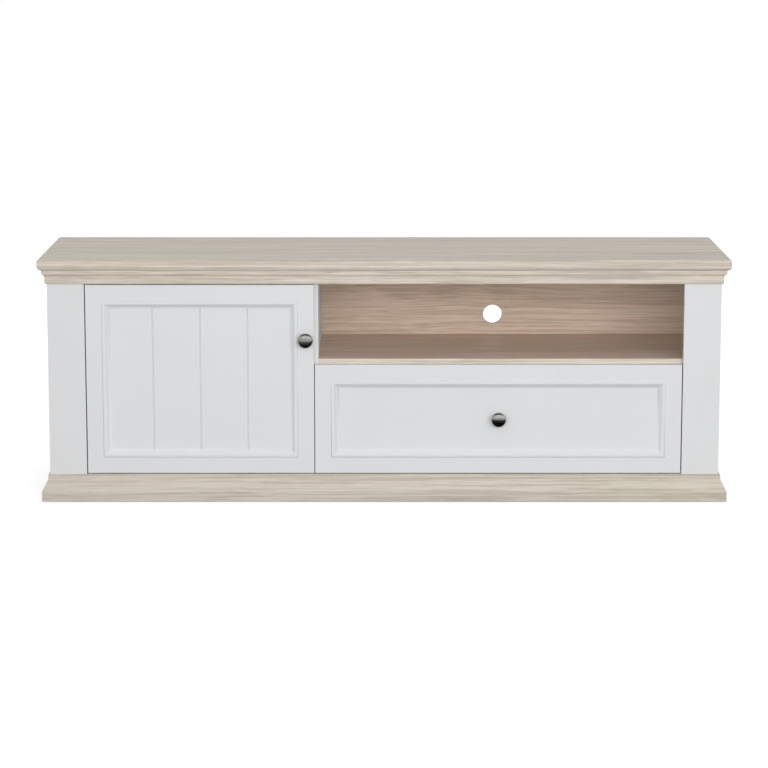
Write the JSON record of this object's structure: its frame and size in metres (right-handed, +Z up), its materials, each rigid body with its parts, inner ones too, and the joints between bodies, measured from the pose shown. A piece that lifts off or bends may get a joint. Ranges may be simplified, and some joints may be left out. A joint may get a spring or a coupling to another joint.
{
  "type": "tv stand",
  "caption": "Low wide media cabinet with a framed plank door, an open niche over a wide framed drawer, and a wood-grain top, cornice and plinth.",
  "frame": {"origin": "On the floor, under the middle of the whole piece's box, knobs included.", "axes": "+X runs along the length, from the door's end to the drawer's end; the front with door and drawer faces -Y; +Z is up."},
  "size_m": [1.6, 0.436, 0.57],
  "materials": {
    "ash_decor": "greyish ash wood-grain decor, satin",
    "white_board": "white foil and lacquer on board, satin",
    "hardboard": "raw brown hardboard",
    "dark_nickel": "polished black nickel plate",
    "zinc_steel": "zinc plated steel",
    "grey_plastic": "matt moulded plastic",
    "white_plastic": "white moulded plastic"
  },
  "bodies": {
    "cabinet": {"top_board": "ash_decor", "sub_top": "white_board", "top_screws": "zinc_steel", "front_rail": "white_board", "cornice_front": "ash_decor", "cornice_left": "ash_decor", "cornice_right": "ash_decor", "plinth_board": "white_board", "plinth_rails": "white_board", "plinth_front": "ash_decor", "plinth_left": "ash_decor", "plinth_right": "ash_decor", "glides": "grey_plastic", "left_side_panel": "white_board", "right_side_panel": "white_board", "left_pilaster": "white_board", "right_pilaster": "white_board", "hinge_panel": "white_board", "runner_panel": "white_board", "divider_panel": "white_board", "bottom_panel": "white_board", "niche_shelf": "ash_decor", "niche_back_panel": "ash_decor", "door_back_panel": "hardboard", "drawer_back_panel": "hardboard", "cam_locks": "zinc_steel", "cam_bolts": "zinc_steel", "door_shelf": "white_board", "shelf_pins": "zinc_steel", "magnet_catch": "white_plastic", "hinge_arms": "zinc_steel", "hinge_plates": "zinc_steel", "hinge_plate_screws": "zinc_steel", "runner_outers": "zinc_steel", "runner_screws": "zinc_steel"},
    "door": {"door_left_stile": "white_board", "door_right_stile": "white_board", "door_rails": "white_board", "door_panel": "white_board", "door_moulding": "white_board", "door_knob": "dark_nickel", "door_knob_screw": "zinc_steel", "catch_plate": "zinc_steel", "hinge_cups": "zinc_steel", "hinge_pins": "zinc_steel", "hinge_cup_screws": "zinc_steel"},
    "drawer": {"drawer_stiles": "white_board", "drawer_rails": "white_board", "drawer_panel": "white_board", "drawer_moulding": "white_board", "drawer_knob": "dark_nickel", "drawer_knob_screw": "zinc_steel", "drawer_box_front": "white_board", "drawer_box_back": "white_board", "drawer_left_side": "white_board", "drawer_right_side": "white_board", "drawer_bottom": "white_board", "drawer_screws": "zinc_steel", "runner_inners": "zinc_steel"},
    "runner_middles": {"runner_middles": "zinc_steel"}
  },
  "joints": [
    {"name": "door_hinge", "type": "hinge", "parent": "cabinet", "child": "door", "pos_m": [-0.6736, -0.181, 0.1464], "axis": [0, 0, -1], "range_deg": [0, 100]},
    {"name": "drawer_slide", "type": "slide", "parent": "cabinet", "child": "drawer", "axis": [0, -1, 0], "range_m": [0, 0.33]},
    {"name": "runner_slide", "type": "slide", "parent": "cabinet", "child": "runner_middles", "axis": [0, -1, 0], "range_m": [0, 0.165]}
  ],
  "couplings": [
    {"joint": "runner_slide", "follows": "drawer_slide", "ratio": 0.5}
  ]
}
